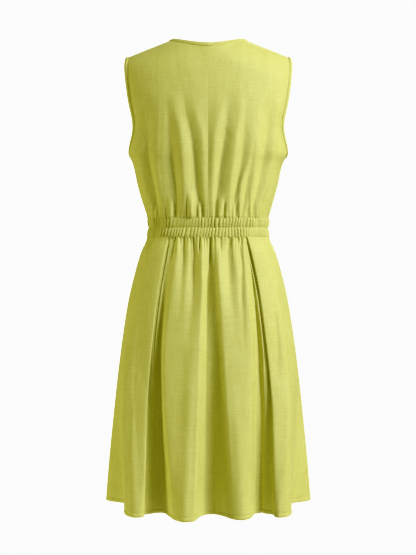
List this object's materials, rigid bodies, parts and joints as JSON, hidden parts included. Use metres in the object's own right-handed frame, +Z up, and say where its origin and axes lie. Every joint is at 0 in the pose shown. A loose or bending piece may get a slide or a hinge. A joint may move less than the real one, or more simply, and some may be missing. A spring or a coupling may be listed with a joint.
{
  "type": "a-line dress",
  "caption": "Sleeveless knee-length a-line dress with a V-neck front, an elastic waistband and knife pleats at the back of the skirt, as worn.",
  "frame": {"origin": "middle of the neck opening, level with the middle of the shoulder seams, where the wearer's shoulders hold the dress", "axes": "+Z up, from the hem to the neck; -Y to the wearer's front and +Y to the back; +X to the wearer's left"},
  "size_m": [0.4486, 0.3666, 1.0089],
  "materials": {
    "linen": "matt slub linen weave, lime green",
    "binding": "folded and stitched lime linen edge",
    "waistband": "lime linen gathered over elastic"
  },
  "bodies": {
    "root": {"bodice_back_left": "linen", "bodice_back_right": "linen", "bodice_front": "linen", "neck_band": "binding", "armhole_band_left": "binding", "armhole_band_right": "binding", "waistband_back": "waistband", "waistband_front": "waistband", "skirt_back": "linen", "skirt_front": "linen"}
  },
  "joints": []
}
